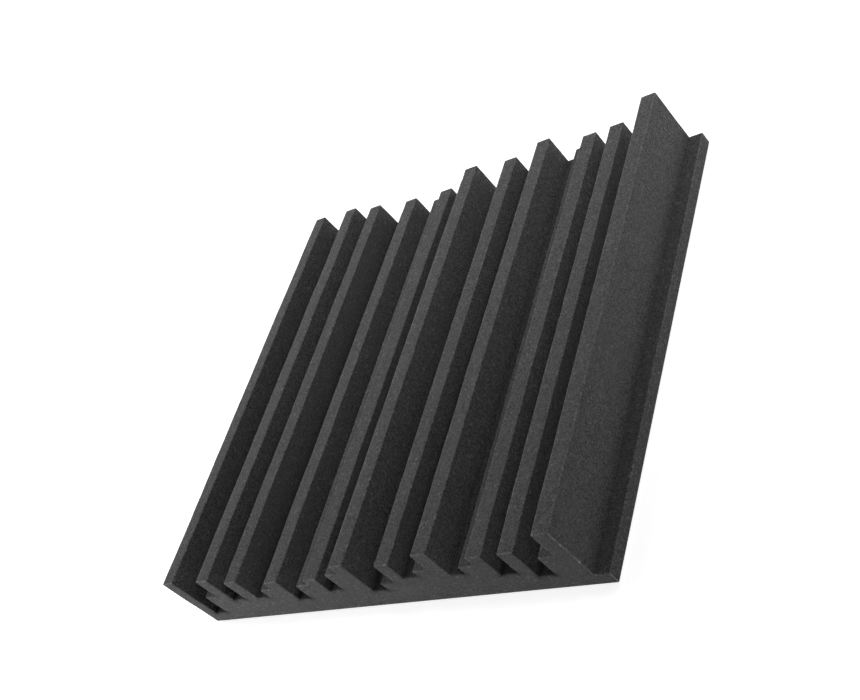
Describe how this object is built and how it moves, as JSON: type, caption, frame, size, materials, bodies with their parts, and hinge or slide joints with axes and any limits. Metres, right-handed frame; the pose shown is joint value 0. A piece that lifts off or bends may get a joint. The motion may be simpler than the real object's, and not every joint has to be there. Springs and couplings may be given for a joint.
{
  "type": "acoustic foam panel",
  "caption": "Square wall tile of dark open-cell foam with a stepped skyline of straight ribs and slots, and liner-backed foam-tape squares on its flat back.",
  "frame": {"origin": "bottom centre of the whole part: under the middle of the tile, on the plane of the liners' outer faces, where the part lies or meets the wall", "axes": "+Z out of the flat back towards the ribs, +Y along the ribs from the near end to the far end, +X across the ribs from the first tall rib to the low flange"},
  "size_m": [0.3048, 0.3048, 0.0511],
  "materials": {
    "acoustic_foam": "matte",
    "foam_tape": "matte",
    "liner_paper": "satin"
  },
  "bodies": {
    "root": {"foam_panel": "acoustic_foam", "adhesive_pad_near_left": "foam_tape", "adhesive_pad_near_right": "foam_tape", "adhesive_pad_far_left": "foam_tape", "adhesive_pad_far_right": "foam_tape", "release_liner_near_left": "liner_paper", "release_liner_near_right": "liner_paper", "release_liner_far_left": "liner_paper", "release_liner_far_right": "liner_paper"}
  },
  "joints": []
}
